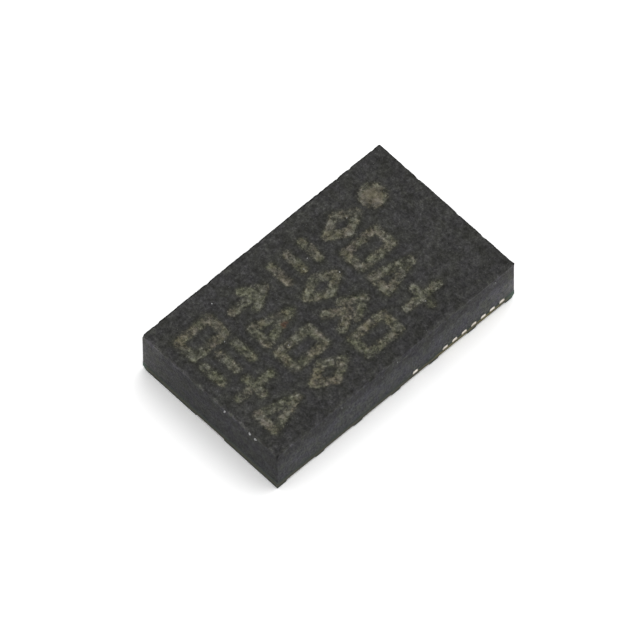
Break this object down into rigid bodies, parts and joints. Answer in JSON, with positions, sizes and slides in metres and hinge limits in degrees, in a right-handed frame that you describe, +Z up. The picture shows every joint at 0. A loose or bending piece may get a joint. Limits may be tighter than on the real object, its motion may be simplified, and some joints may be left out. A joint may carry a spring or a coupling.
{
  "type": "accelerometer chip",
  "caption": "Flat rectangular surface-mount sensor package with a black moulded cap on a laminate base, lands under its rim and a dot at its first-pin corner.",
  "frame": {"origin": "middle of the seating plane, under the middle of the body", "axes": "+Z up from the circuit board, +Y along the body towards the end with the pin-one dot, +X across it"},
  "size_m": [0.003, 0.005, 0.001],
  "materials": {
    "mould_compound": "matt black moulded epoxy, laser marked",
    "laminate": "sawn glass-epoxy laminate, dark olive",
    "solder_mask": "dark green solder mask",
    "plated_copper": "nickel and gold flash on copper",
    "silicon": "bare silicon, smooth grey",
    "attach_film": "amber adhesive film",
    "seal_glass": "fired glass frit",
    "gold_wire": "bright gold wire"
  },
  "bodies": {
    "root": {"mould_cap": "mould_compound", "laminate_core": "laminate", "solder_mask_bottom": "solder_mask", "solder_mask_top": "solder_mask", "terminal_01": "plated_copper", "terminal_02": "plated_copper", "terminal_03": "plated_copper", "terminal_04": "plated_copper", "terminal_05": "plated_copper", "terminal_06": "plated_copper", "terminal_07": "plated_copper", "terminal_08": "plated_copper", "terminal_09": "plated_copper", "terminal_10": "plated_copper", "terminal_11": "plated_copper", "terminal_12": "plated_copper", "terminal_13": "plated_copper", "terminal_14": "plated_copper", "asic_die": "silicon", "sensor_base": "silicon", "sensor_cap": "silicon", "proof_mass": "silicon", "electrode_left": "silicon", "electrode_right": "silicon", "asic_attach_film": "attach_film", "sensor_attach_film": "attach_film", "seal_ring": "seal_glass", "pin_wire_01": "gold_wire", "pin_wire_02": "gold_wire", "pin_wire_03": "gold_wire", "pin_wire_04": "gold_wire", "pin_wire_05": "gold_wire", "pin_wire_06": "gold_wire", "pin_wire_07": "gold_wire", "pin_wire_08": "gold_wire", "pin_wire_09": "gold_wire", "pin_wire_10": "gold_wire", "pin_wire_11": "gold_wire", "pin_wire_12": "gold_wire", "pin_wire_13": "gold_wire", "pin_wire_14": "gold_wire", "sensor_wire_1": "gold_wire", "sensor_wire_2": "gold_wire", "sensor_wire_3": "gold_wire", "sensor_wire_4": "gold_wire", "sensor_wire_5": "gold_wire", "sensor_wire_6": "gold_wire", "sensor_wire_7": "gold_wire", "sensor_wire_8": "gold_wire"}
  },
  "joints": []
}
